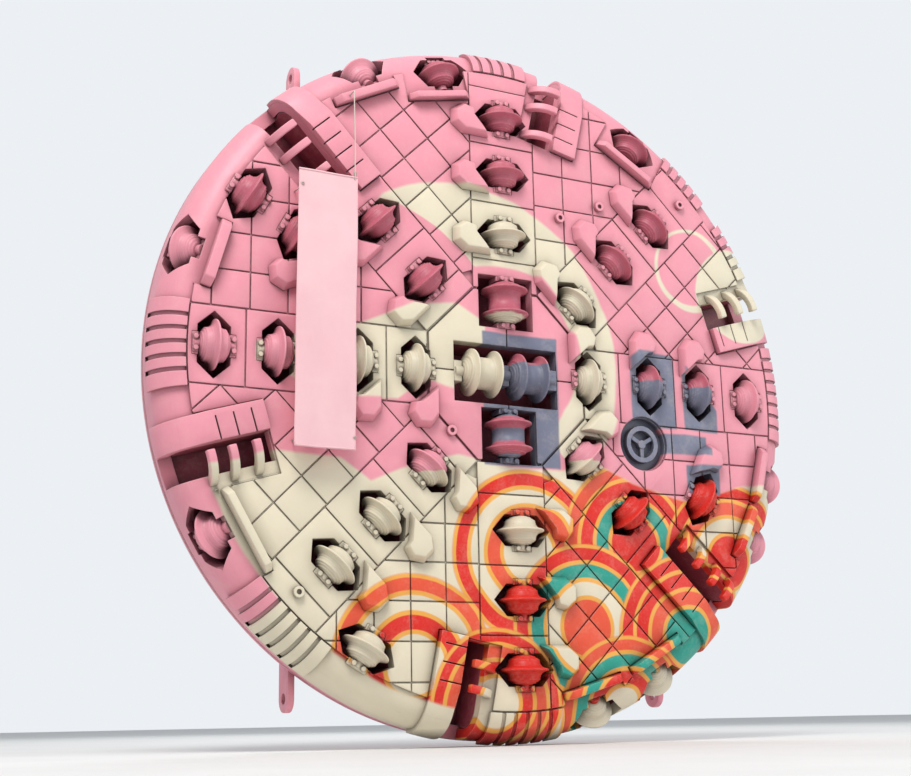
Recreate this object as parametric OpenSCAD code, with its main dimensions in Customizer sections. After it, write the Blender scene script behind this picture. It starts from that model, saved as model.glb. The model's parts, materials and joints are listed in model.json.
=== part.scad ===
// Cutterhead of a tunnel boring machine, 6.4 m across, for hard and mixed ground.
// Origin: centre of the drive flange's rear face. The face looks along -Y, +Z is up.
// Inside on_face() the head lies flat: X right, Y up and Z out of the face, from 0 at the flange.

/* [Head] */
// Radius of the rim
head_r = 3200; // [3100:10:3300]
// Depth from the drive flange's rear face to the front of the wear tiles
head_depth = 1500; // [1350:10:1700]
// Radius of the centre block, where the muck openings begin
core_r = 2240; // [2200:5:2260]
// Thickness of the face plate
plate_t = 90; // [60:5:120]
// Radius of the rounded edge between face and rim
shoulder_r = 250; // [220:5:270]
// Depth of the rim wall behind the tile face, down to the hoop
rim_wall_depth = 400; // [390:5:420]
// Width of the hoop at the back of the rim
hoop_w = 122; // [90:2:150]

/* [Disc cutters] */
// Radius of a disc at its cutting edge
disc_r = 216; // [206:1:226]
// Half the length of a single disc's hub
hub_half = 126; // [116:1:130]
// Radius of the hub beside the ring
hub_r = 160; // [150:1:170]
// Radius of the fixed shaft
shaft_r = 50; // [40:1:60]
// Running clearance between shaft and hub
shaft_gap = 0.05; // [0.02:0.01:0.1]
// Depth of a disc's axis behind the tile face
disc_sink = 30; // [20:2:45]
// Distance between the two rings of a centre cutter
twin_spacing = 228; // [210:2:236]
// Gap between a hub's end and its shaft block
hub_gap = 6; // [5:0.5:8]

/* [Pockets] */
// Length of a pocket, across the disc
pocket_l = 576; // [560:2:590]
// Width of a pocket over the shaft blocks
pocket_w = 370; // [356:2:374]
// Space between a hub's end and the pocket's wall
pocket_gap = 14; // [8:1:18]
// Wall of a cutter housing
housing_wall = 24; // [16:1:26]
// Depth of the housings' rear edge behind the tile face
housing_depth = 472; // [466:1:486]

/* [Wear parts] */
// Thickness of the wear tiles
tile_t = 32; // [25:1:45]
// Pitch of the square tiles between the spokes
tile_pitch = 333; // [320:1:345]
// Gap between tiles
tile_gap = 12; // [8:1:18]
// Width of the straight tile strips along the spokes
strip_w = 660; // [640:10:680]
// Height of a deflector block above the tiles
deflector_h = 80; // [60:5:90]
// Width of a scraper band, around the face
scraper_w = 250; // [235:5:260]
// Height of the scrapers above the face plate
scraper_h = 84; // [70:2:110]

/* [Drive flange] */
// Outer radius of the flange
flange_r = 1620; // [1600:5:1680]
// Inner radius of the flange
flange_bore_r = 1130; // [1080:5:1150]
// Thickness of the flange
flange_t = 110; // [90:5:140]
// Radius of the bolt circle
bolt_circle_r = 1550; // [1540:5:1560]
// Radius of a bolt hole
bolt_hole_r = 32; // [26:1:36]
// Number of bolt holes
bolt_n = 36; // [24:6:48]

/* [Banner] */
// Width of the blank banner
banner_w = 540; // [500:2:560]
// Height of the blank banner
banner_h = 2420; // [2380:10:2460]

/* [Hidden] */
$fn = 240;
eps = 1;
plate_front = head_depth - tile_t;
plate_back = plate_front - plate_t;
housing_back = head_depth - housing_depth;
housing_h = plate_back - housing_back;
hoop_front = head_depth - rim_wall_depth;
hoop_back = hoop_front - hoop_w;
hoop_t = 120;
disc_axis = head_depth - disc_sink;
flat_r = head_r - shoulder_r;
twin_half = twin_spacing / 2 + 80;
pocket_slot = 2 * (hub_half + pocket_gap);
reach = 2 * head_r;

pink = [0.93, 0.6, 0.66];
rose = [0.8, 0.42, 0.5];
cream = [0.9, 0.86, 0.76];
slate = [0.45, 0.47, 0.56];
red = [0.88, 0.14, 0.1];

// Share by which the places on the face follow the rim's radius
spread = head_r / 3200;

// Single face cutters: [angle, radius of the pocket's centre, colour, offset around the head]
FACE_TABLE = [
  [90, 1338, cream, 0], [90, 1942, rose, 0], [90, 2499, rose, 0],
  [45, 1078, cream, 0], [45, 1731, rose, 26], [45, 2352, rose, 18],
  [0, 858, cream, 30], [0, 1533, slate, 40], [0, 2106, slate, 26], [0, 2682, pink, 0],
  [315, 1052, pink, 58], [315, 1729, red, 55],
  [270, 1402, cream, 90], [270, 2010, red, 90], [270, 2605, red, 90],
  [225, 1197, pink, 67], [225, 1821, cream, 67], [225, 2418, cream, 67],
  [180, 915, cream, 10], [180, 1462, cream, 0], [180, 2182, pink, 0], [180, 2730, pink, 0],
  [135, 1146, rose, 0], [135, 1812, rose, -20],
  [334, 2308, red, 0], [152, 2270, rose, 0], [151, 2806, rose, 0], [239, 2803, cream, 62]
];
FACE_CUTTERS = [for (c = FACE_TABLE) [c[0], c[1] * spread, c[2], c[3]]];
// Gauge cutters on the rounded edge: [angle, outward tilt, colour,
// length of the bar in front, its thickness, its offset around the head, its outer radius]
GAUGE_CUTTERS = [
  [164, 58, pink, 610, 90, 0, 2890], [210, 58, pink, 760, 66, 90, 2890],
  [117, 52, pink, 680, 75, 100, 2890],
  [102, 16, rose, 620, 60, 95, 2715], [59, 10, rose, 700, 60, 0, 2690], [345, 62, pink, 560, 70, 0, 2890],
  [333, 66, pink, 560, 70, 0, 2890], [300, 62, cream, 620, 70, 20, 2890], [286, 58, cream, 620, 70, -20, 2890]
];
// Twin centre cutters: [angle, radius, colour]
TWIN_CUTTERS = [[90, 688, rose], [270, 560, rose], [180, 262, cream], [0, 214, slate]];
// The centres of the gauge cutters lie on an arc around a point this far out and behind the tile face
gauge_arc_r = 196;
gauge_arc_x = head_r - 331;
gauge_arc_z = head_depth - 306;

// Muck openings: [direction of the scraper's edge, width, inner end, inner end of the scraper band,
// distances of the grate teeth]
OPENING_TABLE = [
  [16.8, 262, 2390, 2400, [2480, 2700, 2884]], [76.9, 250, 2342, 2337, [2360, 2660, 2850]],
  [133, 343, 2240, 2120, [2424, 2690, 2884]], [196.6, 258, 2355, 2350, [2490, 2700, 2884]],
  [258.4, 245, 2390, 2376, [2560, 2770]], [315.6, 300, 2240, 2120, [2260, 2470, 2690, 2884]]
];
OPENINGS = [for (o = OPENING_TABLE) [o[0], o[1], o[2] * spread, o[3] * spread, o[4] * spread]];

// Every cutter: [angle, radius of its centre, height of its centre, tilt, colour, offset around the head]
CUTTERS = concat(
  [for (c = FACE_CUTTERS) [c[0], c[1], disc_axis, 0, c[2], c[3]]],
  [for (c = GAUGE_CUTTERS) [
    c[0],
    gauge_arc_x + gauge_arc_r * sin(c[1]),
    gauge_arc_z + gauge_arc_r * cos(c[1]),
    c[1],
    c[2],
    0
  ]],
  [for (c = TWIN_CUTTERS) [c[0], c[1], disc_axis, 0, c[2], 0]]
);
face_n = len(FACE_CUTTERS);
gauge_n = len(GAUGE_CUTTERS);
cutter_n = len(CUTTERS);
function two_digits(n) = n < 10 ? str("0", n) : str(n);
function cutter_name(i) =
  i < face_n ? str("face_disc_", two_digits(i + 1)) :
  i < face_n + gauge_n ? str("gauge_disc_", i + 1 - face_n) :
  str("twin_disc_", i + 1 - face_n - gauge_n);

// Centre pockets: [x, y, size x, size y]
twin_pocket_l = 560;
twin_pocket_w = 2 * twin_half + 108;
slot_left = -544;
slot_right = 512;
slot_h = 550;
CENTRE_POCKETS = [
  [0, TWIN_CUTTERS[0][1], twin_pocket_l, twin_pocket_w],
  [0, -TWIN_CUTTERS[1][1], twin_pocket_l, twin_pocket_w],
  [(slot_left + slot_right) / 2, 0, slot_right - slot_left, slot_h]
];

// Manhole
manhole_x = 1446 * spread;
manhole_y = -520 * spread;
manhole_r = 250;

// Nozzles: [x, y, direction of the hood]
NOZZLES = [[2003, 1949, 45], [598, 1597, 112], [1046, 1779, 60], [-589, -554, 225], [-1990, -1990, 225]];

// Turns the flat head so that its face looks along -Y
module on_face() rotate([90, 0, 0]) children();

// Moves to a cutter: X along its shaft, Y around the head, Z out of the face
module at_cutter(c)
  rotate([0, 0, c[0]])
    translate([c[1], c[5], c[2]])
      rotate([0, c[3], 0])
        children();

// Outline of a pocket, X along the shaft: a slot with pointed ends and a notch for each shaft block
module pocket_outline(grow = 0) {
  half_l = pocket_l / 2 + grow;
  half_w = pocket_slot / 2 + grow;
  notch_x = pocket_w / 2 + grow;
  notch_y = block_y / 2 + 2 + grow;
  point_l = 125;
  polygon([
    [half_w, half_l - point_l], [0, half_l], [-half_w, half_l - point_l],
    [-half_w, notch_y], [-notch_x, notch_y], [-notch_x, -notch_y], [-half_w, -notch_y],
    [-half_w, point_l - half_l], [0, -half_l], [half_w, point_l - half_l],
    [half_w, -notch_y], [notch_x, -notch_y], [notch_x, notch_y], [half_w, notch_y]
  ]);
}

// Outlines of the face pockets between two distances from the centre
outer_pocket_r = 2750;
module face_pocket_outlines(grow = 0, from = 0, to = reach) {
  for (c = FACE_CUTTERS)
    if (c[1] > from && c[1] <= to)
      rotate(c[0])
        translate([c[1], c[3]])
          pocket_outline(grow);
}

module centre_pocket_outlines(grow = 0) {
  for (p = CENTRE_POCKETS)
    translate([p[0], p[1]])
      square([p[2] + 2 * grow, p[3] + 2 * grow], center = true);
}

// Gauge pockets, from behind the disc out through the rounded edge
module gauge_pockets(grow = 0)
  for (i = [face_n : face_n + gauge_n - 1])
    at_cutter(CUTTERS[i])
      translate([0, 0, -disc_r - 20])
        linear_extrude(2 * disc_r + 400)
          pocket_outline(grow);

module manhole_outline(r) translate([manhole_x, manhole_y]) circle(r);

// At a muck opening: X outwards along its scraper's edge, Y across the opening
module at_opening(o) rotate([0, 0, o[0]]) children();

module opening_slots()
  for (o = OPENINGS)
    at_opening(o)
      cube([reach, o[1], reach]);

// Section of the face plate's outer part, its rounded edge and the rim wall
module rounded_edge_section(r, top, edge) {
  square_bottom = hoop_front;
  intersection() {
    translate([core_r, square_bottom])
      square([r - core_r, top - square_bottom]);
    union() {
      translate([r - edge, top - edge])
        circle(edge);
      translate([0, square_bottom])
        square([r - edge, top - square_bottom]);
      translate([0, square_bottom])
        square([r, top - edge - square_bottom]);
    }
  }
}

module segment_section() {
  difference() {
    rounded_edge_section(head_r, plate_front, shoulder_r);
    translate([-plate_t, 0])
      rounded_edge_section(head_r, plate_back, shoulder_r - plate_t);
  }
  translate([core_r, plate_back])
    square([head_r - plate_t - shoulder_r - core_r, plate_t]);
}

// Face

// Gap between plates that are welded together
weld_gap = 0.3;
module face_centre() color(pink)
  on_face()
    translate([0, 0, plate_back])
      linear_extrude(plate_t) {
        difference() {
          circle(core_r);
          face_pocket_outlines();
          centre_pocket_outlines();
          manhole_outline(manhole_r);
        }
        opening_ends();
      }

// Plates that close the openings' inner ends
module opening_ends()
  difference() {
    for (o = OPENINGS)
      if (o[2] > core_r)
        rotate(o[0])
          translate([core_r - 30, weld_gap])
            square([o[2] - core_r + 30, o[1] - 2 * weld_gap]);
    circle(core_r + weld_gap);
  }

module face_segments() color(pink)
  on_face()
    difference() {
      rotate_extrude() segment_section();
      opening_slots();
      gauge_pockets();
      translate([0, 0, plate_back - 120])
        linear_extrude(plate_t + 120 + eps)
          face_pocket_outlines();
    }

module rim_hoop() color(pink)
  on_face()
    difference() {
      rotate_extrude()
        difference() {
          translate([head_r - hoop_t, hoop_back])
            square([hoop_t, hoop_w]);
          for (z = [hoop_back + 34, hoop_back + 58])
            translate([head_r - 10, z])
              square([20, 10]);
        }
      gauge_pockets();
    }

// Back

rib_from = 1190;
rib_to = 2080;
rib_t = 40;
back_t = 50;
back_in = 1150;
back_front = housing_back;
back_back = housing_back - back_t;
RIB_ANGLES = [22.5, 67.5, 112.5, 157.5, 202.5, 247.5, 292.5];

// The rear wall behind the housings, with a round cover over each access hole
access_r = 210;
access_at_r = 2560;
ACCESS_ANGLES = [0, 60, 120, 180, 240, 300];
module back_plate() color(rose)
  on_face() {
    access_covers();
    translate([0, 0, back_back])
      linear_extrude(back_t)
        difference() {
          circle(head_r - hoop_t);
          for (a = ACCESS_ANGLES)
            rotate(a)
              translate([access_at_r, 0])
                circle(access_r);
        }
  }

module access_covers()
  for (a = ACCESS_ANGLES)
    rotate([0, 0, a])
      translate([access_at_r, 0, back_back - 24 - weld_gap]) {
        cylinder(h = 24, r = access_r + 45);
        translate([0, 0, 23])
          cylinder(h = back_t - 9, r = access_r - 1);
      }

// Ribs between the face and the rear wall, stiffeners behind it and the walls of the openings
stiff_n = 12;
stiff_h = 130;
stiff_to = 2960;
module web_plates() color(rose)
  on_face() {
    opening_linings();
    for (a = RIB_ANGLES)
      rotate([0, 0, a])
        translate([rib_from, -rib_t / 2, back_front + weld_gap])
          cube([rib_to - rib_from, rib_t, housing_h - 2 * weld_gap]);
    for (k = [0 : stiff_n - 1])
      rotate([0, 0, (k + 0.5) * 360 / stiff_n])
        translate([back_in + 40, 0, back_back - weld_gap])
          rotate([90, 0, 0])
            translate([0, 0, -rib_t / 2])
              linear_extrude(rib_t)
                polygon([[0, 0], [0, -stiff_h], [700, -stiff_h], [stiff_to - back_in - 40, -40],
                  [stiff_to - back_in - 40, 0]]);
  }

// Walls that line the muck openings, from the face plate to the rear wall
lining_t = 40;
lining_gap = 6;
module lining_profile() {
  edge = shoulder_r - plate_t;
  top = plate_back - weld_gap;
  bottom = back_front + weld_gap;
  polygon(concat(
    [[core_r + 20, top], [core_r + 20, bottom], [head_r - hoop_t - lining_gap, bottom],
      [head_r - hoop_t - lining_gap, hoop_front]],
    [for (a = [0 : 10 : 90]) [
      flat_r - lining_gap + edge * cos(a),
      plate_front - shoulder_r - weld_gap + edge * sin(a)
    ]]
  ));
}
module opening_linings()
  difference() {
    for (o = OPENINGS)
      intersection() {
        rotate_extrude()
          lining_profile();
        at_opening(o)
          for (y = [-lining_t, o[1]])
            translate([0, y, 0])
              cube([reach, lining_t, reach]);
      }
    translate([0, 0, back_front - eps])
      linear_extrude(housing_h + 2 * eps)
        face_pocket_outlines(housing_wall + 1);
  }

arm_n = 6;
arm_t = 320;
arm_w = 330;
arm_foot_r = 1165;
arm_head_r = 1760;
module support_arms() color(rose)
  on_face()
    for (k = [0 : arm_n - 1])
      rotate([0, 0, k * 360 / arm_n])
        translate([0, arm_t / 2, 0])
          rotate([90, 0, 0])
            linear_extrude(arm_t)
              polygon([
                [arm_foot_r, flange_t], [arm_foot_r + arm_w, flange_t],
                [arm_head_r + arm_w, back_back], [arm_head_r, back_back]
              ]);

module drive_flange() color(rose)
  on_face()
    difference() {
      cylinder(h = flange_t, r = flange_r);
      translate([0, 0, -eps])
        cylinder(h = flange_t + 2 * eps, r = flange_bore_r);
      for (k = [0 : bolt_n - 1])
        rotate([0, 0, k * 360 / bolt_n])
          translate([bolt_circle_r, 0, -eps])
            cylinder(h = flange_t + 2 * eps, r = bolt_hole_r);
    }

// Cutter housings and shafts

// What lies behind the face plate and inside the rim wall
module inner_space()
  rotate_extrude() {
    inner_r = head_r - plate_t;
    inner_edge = shoulder_r - plate_t;
    translate([0, back_front])
      square([inner_r - inner_edge, housing_h]);
    translate([0, hoop_front])
      square([inner_r, plate_back - inner_edge - hoop_front]);
    translate([0, back_front])
      square([head_r - hoop_t, hoop_front - back_front]);
    translate([inner_r - inner_edge, plate_back - inner_edge])
      intersection() {
        circle(inner_edge);
        square(inner_edge);
      }
  }

module cutter_housings() color(rose)
  on_face() {
    translate([0, 0, housing_back])
      linear_extrude(housing_h)
        difference() {
          union() {
            face_pocket_outlines(housing_wall, 0, outer_pocket_r);
            centre_pocket_outlines(housing_wall);
          }
          face_pocket_outlines();
          centre_pocket_outlines();
        }
    intersection() {
      inner_space();
      translate([0, 0, housing_back])
        linear_extrude(housing_h)
          difference() {
            face_pocket_outlines(housing_wall, outer_pocket_r);
            face_pocket_outlines();
          }
    }
    for (i = [face_n : face_n + gauge_n - 1])
      intersection() {
        inner_space();
        at_cutter(CUTTERS[i])
          translate([0, 0, -disc_r])
            linear_extrude(2 * disc_r + 200)
              difference() {
                pocket_outline(housing_wall);
                pocket_outline();
              }
      }
  }

shaft_end = 14;
block_y = 190;
block_low = 120;
block_high = 24;
gauge_block_high = 10;

// One shaft with a block at each end, X along the shaft. The first block's top is set apart
module shaft_with_blocks(half, wall, front_high) {
  rotate([0, 90, 0])
    cylinder(h = 2 * wall - 2 * shaft_end, r = shaft_r, center = true);
  for (b = [[-1, front_high], [1, block_high]])
    translate([b[0] * (half + hub_gap + wall) / 2, 0, (b[1] - block_low) / 2])
      cube([wall - half - hub_gap, block_y, b[1] + block_low], center = true);
}

module cutter_shafts() color(rose)
  on_face() {
    for (i = [0 : face_n - 1])
      at_cutter(CUTTERS[i])
        shaft_with_blocks(hub_half, pocket_w / 2, block_high);
    for (i = [face_n : face_n + gauge_n - 1])
      at_cutter(CUTTERS[i])
        shaft_with_blocks(hub_half, pocket_w / 2, gauge_block_high);
    for (i = [face_n + gauge_n, face_n + gauge_n + 1])
      at_cutter(CUTTERS[i])
        shaft_with_blocks(twin_half, twin_pocket_w / 2, block_high);
    slot_shaft();
  }

// The two cutters of the centre slot share one shaft line and a middle block
module slot_shaft() {
  left = -TWIN_CUTTERS[2][1];
  right = TWIN_CUTTERS[3][1];
  from_hub = twin_half + hub_gap;
  translate([slot_left + shaft_end, 0, disc_axis])
    rotate([0, 90, 0])
      cylinder(h = slot_right - slot_left - 2 * shaft_end, r = shaft_r);
  for (b = [
    [slot_left, left - from_hub], [left + from_hub, right - from_hub], [right + from_hub, slot_right]
  ])
    translate([b[0], -block_y / 2, disc_axis - block_low])
      cube([b[1] - b[0], block_y, block_high + block_low]);
}

ring_base = 28;
tip_half = 8;

// Points of one ring from foot to foot: [distance along the shaft, radius]
RING = [
  [-ring_base - 14, hub_r - 8], [-ring_base, hub_r], [-tip_half - 8, disc_r - 42],
  [-tip_half, disc_r - 6], [-tip_half + 4, disc_r], [tip_half - 4, disc_r],
  [tip_half, disc_r - 6], [tip_half + 8, disc_r - 42], [ring_base, hub_r], [ring_base + 14, hub_r - 8]
];
// Points of the hub's left end, from the bore outwards
function hub_end(half) = [
  [-half, shaft_r + shaft_gap], [-half, hub_r - 84], [-half + 10, hub_r - 78], [-half + 12, hub_r - 58],
  [-half + 24, hub_r - 52], [-half + 26, hub_r - 36], [-half + 36, hub_r - 22]
];
function shifted(points, by) = [for (p = points) [p[0] + by, p[1]]];
function mirrored(points) = [for (i = [len(points) - 1 : -1 : 0]) [-points[i][0], points[i][1]]];

// Half section of a cutter, with rings at the given places along the shaft
module disc_section(half, rings)
  polygon(concat(hub_end(half), [for (r = rings) each shifted(RING, r)], mirrored(hub_end(half))));

module cutter(i) color(CUTTERS[i][4])
  on_face()
    at_cutter(CUTTERS[i])
      rotate([0, 90, 0])
        rotate_extrude()
          rotate(90)
            mirror([0, 1])
              if (i < face_n + gauge_n)
                disc_section(hub_half, [0]);
              else
                disc_section(twin_half, [-twin_spacing / 2, twin_spacing / 2]);

// Wear parts

scraper_to = flat_r - 20;

tooth_foot = 106;
// Strips around the openings that carry the scrapers and the grate teeth
module opening_strips(grow = 0)
  for (o = OPENINGS)
    rotate(o[0]) {
      translate([o[3] - grow, -scraper_w - grow])
        square([reach, scraper_w + grow + 1]);
      translate([o[2] - grow, 0])
        square([reach, o[1] + tooth_foot + grow]);
    }

module tile_cuts() {
  face_pocket_outlines();
  centre_pocket_outlines();
  manhole_outline(manhole_r + tile_gap);
  opening_strips(tile_gap);
  gauge_bar_strips(tile_gap);
}

// Seams across the spokes, between the pockets: [angle, distances from the centre]
SPOKE_SEAMS = [
  [0, [1195, 1820, 2394]], [45, [1405, 2042, 2660]], [90, [1080, 1640, 2220, 2790]],
  [135, [1000, 1488, 2150]], [180, [1190, 1822, 2456]], [225, [1000, 1534, 2147, 2750]],
  [270, [1080, 1706, 2308]], [315, [1358, 2000]]
];

// One frame plate around each pocket of a spoke
module spoke_tiles(spoke)
  difference() {
    intersection() {
      circle(flat_r);
      rotate(spoke[0])
        translate([strip_w / 2 / tan(22.5) + tile_gap, -strip_w / 2])
          square([reach, strip_w]);
    }
    rotate(spoke[0])
      for (x = spoke[1])
        translate([x, -strip_w])
          square([tile_gap, 2 * strip_w]);
    tile_cuts();
  }

// Square tiles between the spokes. They follow one of the two: [its angle, distance of a cross seam]
SECTORS = [
  [45, 1869], [90, 1687], [135, 1742], [180, 1760], [225, 2118], [270, 1700], [315, 1720], [0, 1760]
];
module sector_tiles(sector)
  difference() {
    intersection() {
      circle(flat_r);
      rotate(sector[0] - 22.5) {
        tip = (strip_w / 2 + tile_gap) / sin(22.5);
        polygon([[tip, 0], [reach, (reach - tip) * tan(22.5)], [reach, (tip - reach) * tan(22.5)]]);
      }
    }
    circle(1020);
    rotate(sector[0]) {
      for (step = [-3 : 5])
        translate([sector[1] + step * tile_pitch, -reach])
          square([tile_gap, reach]);
      for (row = [1 : 7])
        translate([0, -strip_w / 2 - row * tile_pitch])
          square([reach, tile_gap]);
    }
    tile_cuts();
  }

// Tiles around the centre cutters, inside the spokes' strips
module centre_tiles()
  difference() {
    rotate(22.5)
      circle((strip_w / 2 / tan(22.5) - tile_gap) / cos(22.5), $fn = 8);
    for (turn = [0, 90])
      rotate(turn)
        square([reach, tile_gap], center = true);
    tile_cuts();
  }

module wear_tiles() color(pink)
  on_face()
    translate([0, 0, plate_front]) {
      linear_extrude(tile_t)
        centre_tiles();
      for (k = [0 : 7])
        linear_extrude(tile_t) {
          spoke_tiles(SPOKE_SEAMS[k]);
          sector_tiles(SECTORS[k]);
        }
    }

deflector_limit_r = 0.82 * head_r;
// Where a deflector stands beside its cutter, and whether it stays clear of scrapers and manhole
function deflector_at(c) = [c[1] - 65, c[3] + pocket_l / 2 + 62];
function deflector_fits(c) =
  let(p = deflector_at(c))
  c[1] < deflector_limit_r && (c[0] != 180 || c[1] < 2150) &&
  norm([
    p[0] * cos(c[0]) - p[1] * sin(c[0]) - manhole_x,
    p[0] * sin(c[0]) + p[1] * cos(c[0]) - manhole_y
  ]) > manhole_r + 150;
// A block with slanting sides beside each face cutter that leaves room for one. It follows the pocket's end
module deflectors() color(pink)
  on_face()
    for (c = FACE_CUTTERS)
      if (deflector_fits(c))
        rotate([0, 0, c[0]])
          translate([deflector_at(c)[0], deflector_at(c)[1], head_depth])
            linear_extrude(deflector_h, scale = 0.74)
              polygon([
                [-150, -210], [-85, -160], [45, -44], [125, -30],
                [155, 80], [75, 190], [-65, 190], [-150, 80]
              ]);

edge_cover = 34;
scraper_foot_z = plate_front - shoulder_r - 60;
// Section of a band that runs over the face and bends down over the rounded edge
module band_section(from, high)
  difference() {
    polygon(concat(
      [[from, 0], [from, plate_front + high], [flat_r - 120, plate_front + high]],
      [for (a = [80 : -10 : 0]) [
        flat_r + (shoulder_r + edge_cover) * cos(a),
        plate_front - shoulder_r + (shoulder_r + edge_cover) * sin(a)
      ]],
      [[head_r + edge_cover, scraper_foot_z], [head_r - 50, scraper_foot_z], [head_r - 50, 0]]
    ));
    rounded_edge_section(head_r, plate_front, shoulder_r);
    square([flat_r, plate_front]);
    square([head_r + 2 * edge_cover, scraper_foot_z]);
  }

scraper_pitch = 155;
scraper_slit = 12;
module scrapers() color(pink)
  on_face()
    for (o = OPENINGS)
      difference() {
        intersection() {
          rotate_extrude()
            band_section(o[3], scraper_h);
          at_opening(o)
            translate([o[3], -scraper_w, 0])
              cube([reach, scraper_w, reach]);
        }
        at_opening(o)
          for (x = [scraper_to - scraper_pitch : -scraper_pitch : o[3] + 40])
            translate([x, -scraper_w + 50, plate_front + 36])
              cube([scraper_slit, scraper_w, scraper_h]);
      }

tooth_t = 66;
tooth_in = 185;
tooth_out = 253;
tooth_x = -150;
tooth_y = -80;
tooth_reach = 190;
// A finger that rises from its foot and bends over the opening
module grate_teeth() color(cream)
  on_face()
    for (o = OPENINGS)
      at_opening(o)
        for (r = o[4])
          translate([r, o[1], plate_front])
            rotate([90, 0, 90])
              linear_extrude(tooth_t)
                difference() {
                  intersection() {
                    translate([tooth_x, tooth_y])
                      circle(tooth_out);
                    translate([-tooth_reach, 0])
                      square(2 * tooth_out);
                  }
                  translate([tooth_x, tooth_y])
                    circle(tooth_in);
                }

// Ribbed blocks on the rounded edge: [first angle, last angle]
EDGE_BLOCKS = [[84.6, 95.4], [25, 36], [41, 52], [173, 187], [219, 235], [265, 279], [353, 371]];
block_t = 34;
rib_pitch = 2.2;
groove_angle = 0.7;
groove_depth = 22;
module edge_wear_blocks() color(cream)
  on_face()
    for (b = EDGE_BLOCKS)
      difference() {
        edge_arc(b[0], b[1] - b[0], 0.2, block_t);
        for (a = [b[0] + rib_pitch : rib_pitch : b[1] - 1])
          edge_arc(a, groove_angle, block_t - groove_depth, block_t + 5);
      }

// A layer over the rounded edge, between two heights above it
module edge_arc(from, angle, low, high)
  rotate([0, 0, from])
    rotate_extrude(angle = angle)
      difference() {
        edge_block_section(high);
        edge_block_section(low);
      }

module edge_block_section(grow)
  intersection() {
    translate([flat_r + 14, plate_front - shoulder_r + 30])
      square([head_r, head_depth]);
    translate([flat_r, plate_front - shoulder_r])
      circle(shoulder_r + grow);
  }

gauge_bar_h = 120;
// Strip of the face under each gauge bar, out to the edge
module gauge_bar_strips(grow = 0)
  for (c = GAUGE_CUTTERS)
    rotate(c[0])
      translate([c[6] * spread - c[4] - grow, c[5] - c[3] / 2 - grow])
        square([reach, c[3] + 2 * grow]);

// Thick bars in front of the gauge cutters, with slanting ends
module gauge_bars() color(rose)
  on_face()
    translate([0, 0, plate_front])
      for (c = GAUGE_CUTTERS)
        rotate([0, 0, c[0]])
          translate([c[6] * spread - c[4], c[5], 0])
            rotate([90, 0, 90])
              linear_extrude(c[4])
                polygon([
                  [-c[3] / 2, 0], [c[3] / 2, 0], [c[3] / 2, gauge_bar_h * 0.45],
                  [c[3] / 2 - 60, gauge_bar_h], [60 - c[3] / 2, gauge_bar_h],
                  [-c[3] / 2, gauge_bar_h * 0.45]
                ]);

// Lifting lugs behind the rim: [x, pointing up or down]
LUGS = [[-1850, 1], [1850, 1], [-1850, -1], [1850, -1]];
lug_w = 230;
lug_t = 60;
lug_foot_y = sqrt(pow(head_r - hoop_t, 2) - pow(LUGS[1][0] - lug_t / 2, 2)) + 6;
lug_tip_y = lug_foot_y + 440;
lug_hole_r = 45;
module lifting_lugs() color(pink)
  on_face()
    for (l = LUGS)
      translate([l[0] - lug_t / 2, 0, hoop_back - lug_w])
        rotate([90, 0, 90])
          linear_extrude(lug_t)
            mirror([l[1] < 0 ? 1 : 0, 0])
              difference() {
                union() {
                  translate([lug_foot_y, 0])
                    square([lug_tip_y - lug_w / 2 - lug_foot_y, lug_w]);
                  translate([lug_tip_y - lug_w / 2, lug_w / 2])
                    circle(lug_w / 2);
                }
                translate([lug_tip_y - lug_w / 2, lug_w / 2])
                  circle(lug_hole_r);
              }

module manhole_cover() color("slategray")
  on_face()
    translate([manhole_x, manhole_y, plate_back]) {
      cylinder(h = 30, r = manhole_r);
      translate([0, 0, 30])
        difference() {
          cylinder(h = 60, r = 175);
          translate([0, 0, -eps])
            cylinder(h = 60 + 2 * eps, r = 130);
        }
      for (a = [30, 150, 270])
        rotate([0, 0, a])
          translate([0, -18, 29])
            cube([150, 36, 50]);
      cylinder(h = 85, r = 40);
    }

module spray_nozzles() color(rose)
  on_face()
    for (n = NOZZLES)
      translate([n[0] * spread, n[1] * spread, head_depth])
        rotate([0, 0, n[2]])
          difference() {
            cylinder(h = 36, r = 46);
            translate([0, 0, 10])
              cylinder(h = 40, r = 22);
          }

banner_x = -1817;
banner_top = 1582;
banner_t = 6;
banner_gap = 10;
banner_z = head_depth + disc_r - disc_sink + banner_gap;
rope_r = 8;
// Ropes above the banner: [x, y of the upper end, height of what holds it]
ROPES = [[-1575, 2395, plate_front + gauge_bar_h]];
// Ties near the corners: [x, y]
TIES = [[-2052, 1440], [-2052, -750], [-1578, -730]];
module banner() color("mistyrose")
  on_face() {
    translate([banner_x - banner_w / 2, banner_top - banner_h, banner_z])
      cube([banner_w, banner_h, banner_t]);
    for (r = ROPES) {
      translate([r[0], banner_top - rope_r, banner_z + banner_t / 2])
        rotate([-90, 0, 0])
          cylinder(h = r[1] - banner_top + rope_r, r = rope_r);
      translate([r[0], r[1], r[2]])
        cylinder(h = banner_z + rope_r - r[2], r = 2 * rope_r);
    }
    for (t = TIES)
      translate([t[0], t[1], head_depth])
        cylinder(h = banner_z - head_depth, r = rope_r);
  }

face_centre();
face_segments();
rim_hoop();
back_plate();
web_plates();
support_arms();
drive_flange();
cutter_housings();
cutter_shafts();
wear_tiles();
deflectors();
scrapers();
grate_teeth();
edge_wear_blocks();
gauge_bars();
lifting_lugs();
manhole_cover();
spray_nozzles();
banner();
for (i = [0 : cutter_n - 1])
  cutter(i);
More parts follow.
